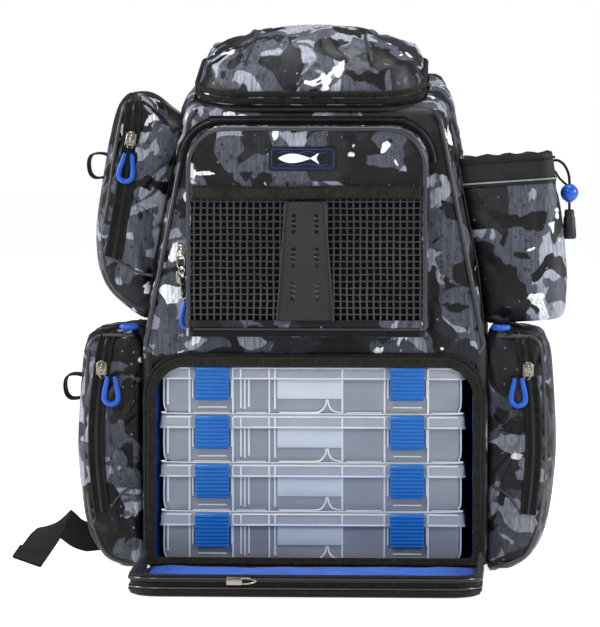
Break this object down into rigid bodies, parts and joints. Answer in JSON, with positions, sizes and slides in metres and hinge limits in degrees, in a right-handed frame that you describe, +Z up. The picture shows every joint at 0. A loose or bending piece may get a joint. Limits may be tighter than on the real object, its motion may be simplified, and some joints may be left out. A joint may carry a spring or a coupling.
{
  "type": "tackle backpack",
  "caption": "Soft tackle backpack with a drop-down bay of stacked stowaway boxes, a hinged front flap, a domed lid, side pouches and a padded harness.",
  "frame": {"origin": "centre of the underside of the moulded base, below the middle of the tackle bay", "axes": "+Z up, +X to the viewer's right seen from the front, -Y out of the front face with the bay door"},
  "size_m": [0.5188, 0.4693, 0.4986],
  "materials": {
    "camo_cloth": "printed camouflage on coated plain weave",
    "blue_lining": "plain nylon taffeta",
    "base_rubber": "moulded, fine grain",
    "board": "extruded sheet",
    "black_webbing": "ribbed nylon webbing",
    "zip_coil": "nylon coil and woven tape",
    "air_mesh": "spacer mesh",
    "black_nylon": "coated plain weave",
    "cord_black": "braided",
    "black_plastic": "moulded",
    "blue_plastic": "moulded, satin",
    "mesh_rubber": "coated open grid",
    "elastic_band": "ribbed elastic",
    "sleeve_rubber": "moulded, matte",
    "badge_rubber": "moulded, matte",
    "clear_blue": "translucent moulded",
    "latch_blue": "moulded, satin",
    "gunmetal": "plated die casting",
    "puller_blue": "moulded over cord"
  },
  "bodies": {
    "root": {"main_shell": "camo_cloth", "bay_lining": "blue_lining", "base_panel": "base_rubber", "stiffener_boards": "board", "opening_binding": "black_webbing", "zip_chains": "zip_coil", "back_pad": "air_mesh", "shoulder_strap_left": "air_mesh", "shoulder_strap_right": "air_mesh", "strap_webbing": "black_webbing", "sternum_strap": "black_webbing", "carry_handle": "black_webbing", "waist_belt_left": "black_webbing", "waist_belt_right": "black_webbing", "pouch_upper_left": "camo_cloth", "pouch_lower_left": "camo_cloth", "pouch_lower_right": "camo_cloth", "drawstring_pouch": "camo_cloth", "drawstring_collar": "black_nylon", "webbing_loops": "black_webbing", "drawcord": "cord_black", "cord_end": "black_plastic"},
    "cord_lock": {"cord_lock": "blue_plastic"},
    "flap": {"front_flap": "camo_cloth", "flap_mesh": "mesh_rubber", "mesh_band": "elastic_band", "tool_sleeve": "sleeve_rubber", "badge": "badge_rubber"},
    "door": {"door_panel": "black_nylon", "door_lining": "blue_lining", "door_rim": "black_webbing", "door_zip_chain": "zip_coil"},
    "door_slider": {"door_slider": "gunmetal"},
    "lid": {"top_lid": "camo_cloth"},
    "box_1": {"box_1_tray": "clear_blue", "box_1_lid": "clear_blue"},
    "box_1_latch_left": {"box_1_latch_left": "latch_blue"},
    "box_1_latch_right": {"box_1_latch_right": "latch_blue"},
    "box_2": {"box_2_tray": "clear_blue", "box_2_lid": "clear_blue"},
    "box_2_latch_left": {"box_2_latch_left": "latch_blue"},
    "box_2_latch_right": {"box_2_latch_right": "latch_blue"},
    "box_3": {"box_3_tray": "clear_blue", "box_3_lid": "clear_blue"},
    "box_3_latch_left": {"box_3_latch_left": "latch_blue"},
    "box_3_latch_right": {"box_3_latch_right": "latch_blue"},
    "box_4": {"box_4_tray": "clear_blue", "box_4_lid": "clear_blue"},
    "box_4_latch_left": {"box_4_latch_left": "latch_blue"},
    "box_4_latch_right": {"box_4_latch_right": "latch_blue"},
    "flap_slider_upper": {"flap_slider_upper": "gunmetal"},
    "flap_slider_lower": {"flap_slider_lower": "gunmetal"},
    "left_slider_front": {"left_slider_front": "gunmetal"},
    "left_slider_top": {"left_slider_top": "gunmetal"},
    "right_slider_front": {"right_slider_front": "gunmetal"},
    "right_slider_top": {"right_slider_top": "gunmetal"},
    "upper_slider": {"upper_slider": "gunmetal"},
    "lid_slider": {"lid_slider": "gunmetal"}
  },
  "joints": [
    {"name": "door_hinge", "type": "hinge", "parent": "root", "child": "door", "pos_m": [0, -0.1249, 0.003], "axis": [-1, 0, 0], "range_deg": [0, 90]},
    {"name": "flap_hinge", "type": "hinge", "parent": "root", "child": "flap", "pos_m": [-0.006, -0.127, 0.2185], "axis": [1, 0, 0], "range_deg": [0, 85]},
    {"name": "lid_hinge", "type": "hinge", "parent": "root", "child": "lid", "pos_m": [-0.006, 0.04696, 0.47731], "axis": [1, 0, 0], "range_deg": [-86, 0]},
    {"name": "box_1_slide", "type": "slide", "parent": "root", "child": "box_1", "axis": [0, 1, 0], "range_m": [-0.16, 0]},
    {"name": "box_1_latch_left_hinge", "type": "hinge", "parent": "box_1", "child": "box_1_latch_left", "pos_m": [-0.091, -0.0988, 0.16492], "axis": [-1, 0, 0], "range_deg": [-60, 0]},
    {"name": "box_1_latch_right_hinge", "type": "hinge", "parent": "box_1", "child": "box_1_latch_right", "pos_m": [0.0865, -0.0988, 0.16492], "axis": [-1, 0, 0], "range_deg": [-60, 0]},
    {"name": "box_2_slide", "type": "slide", "parent": "root", "child": "box_2", "axis": [0, 1, 0], "range_m": [-0.16, 0]},
    {"name": "box_2_latch_left_hinge", "type": "hinge", "parent": "box_2", "child": "box_2_latch_left", "pos_m": [-0.091, -0.0988, 0.12032], "axis": [-1, 0, 0], "range_deg": [-60, 0]},
    {"name": "box_2_latch_right_hinge", "type": "hinge", "parent": "box_2", "child": "box_2_latch_right", "pos_m": [0.0865, -0.0988, 0.12032], "axis": [-1, 0, 0], "range_deg": [-60, 0]},
    {"name": "box_3_slide", "type": "slide", "parent": "root", "child": "box_3", "axis": [0, 1, 0], "range_m": [-0.16, 0]},
    {"name": "box_3_latch_left_hinge", "type": "hinge", "parent": "box_3", "child": "box_3_latch_left", "pos_m": [-0.091, -0.0988, 0.07572], "axis": [-1, 0, 0], "range_deg": [-60, 0]},
    {"name": "box_3_latch_right_hinge", "type": "hinge", "parent": "box_3", "child": "box_3_latch_right", "pos_m": [0.0865, -0.0988, 0.07572], "axis": [-1, 0, 0], "range_deg": [-60, 0]},
    {"name": "box_4_slide", "type": "slide", "parent": "root", "child": "box_4", "axis": [0, 1, 0], "range_m": [-0.16, 0]},
    {"name": "box_4_latch_left_hinge", "type": "hinge", "parent": "box_4", "child": "box_4_latch_left", "pos_m": [-0.091, -0.0988, 0.03112], "axis": [-1, 0, 0], "range_deg": [-60, 0]},
    {"name": "box_4_latch_right_hinge", "type": "hinge", "parent": "box_4", "child": "box_4_latch_right", "pos_m": [0.0865, -0.0988, 0.03112], "axis": [-1, 0, 0], "range_deg": [-60, 0]},
    {"name": "cord_lock_slide", "type": "slide", "parent": "root", "child": "cord_lock", "axis": [0, 0, 1], "range_m": [-0.006, 0.004]},
    {"name": "flap_slider_upper_slide", "type": "slide", "parent": "root", "child": "flap_slider_upper", "axis": [0, 0, 1], "range_m": [0, 0.045]},
    {"name": "flap_slider_lower_slide", "type": "slide", "parent": "root", "child": "flap_slider_lower", "axis": [0, 0, 1], "range_m": [-0.03, 0]},
    {"name": "left_slider_front_slide", "type": "slide", "parent": "root", "child": "left_slider_front", "axis": [0, 0, 1], "range_m": [-0.11, 0]},
    {"name": "left_slider_top_slide", "type": "slide", "parent": "root", "child": "left_slider_top", "axis": [0, 1, 0], "range_m": [0, 0.095]},
    {"name": "right_slider_front_slide", "type": "slide", "parent": "root", "child": "right_slider_front", "axis": [0, 0, 1], "range_m": [-0.11, 0]},
    {"name": "right_slider_top_slide", "type": "slide", "parent": "root", "child": "right_slider_top", "axis": [0, 1, 0], "range_m": [0, 0.095]},
    {"name": "upper_slider_slide", "type": "slide", "parent": "root", "child": "upper_slider", "axis": [0.1428, 0, 0.9898], "range_m": [-0.075, 0]},
    {"name": "lid_slider_slide", "type": "slide", "parent": "root", "child": "lid_slider", "axis": [0, 0.9659, 0.2588], "range_m": [-0.03, 0.03]},
    {"name": "door_slider_slide", "type": "slide", "parent": "door", "child": "door_slider", "axis": [1, 0, 0], "range_m": [-0.05, 0.16]}
  ]
}
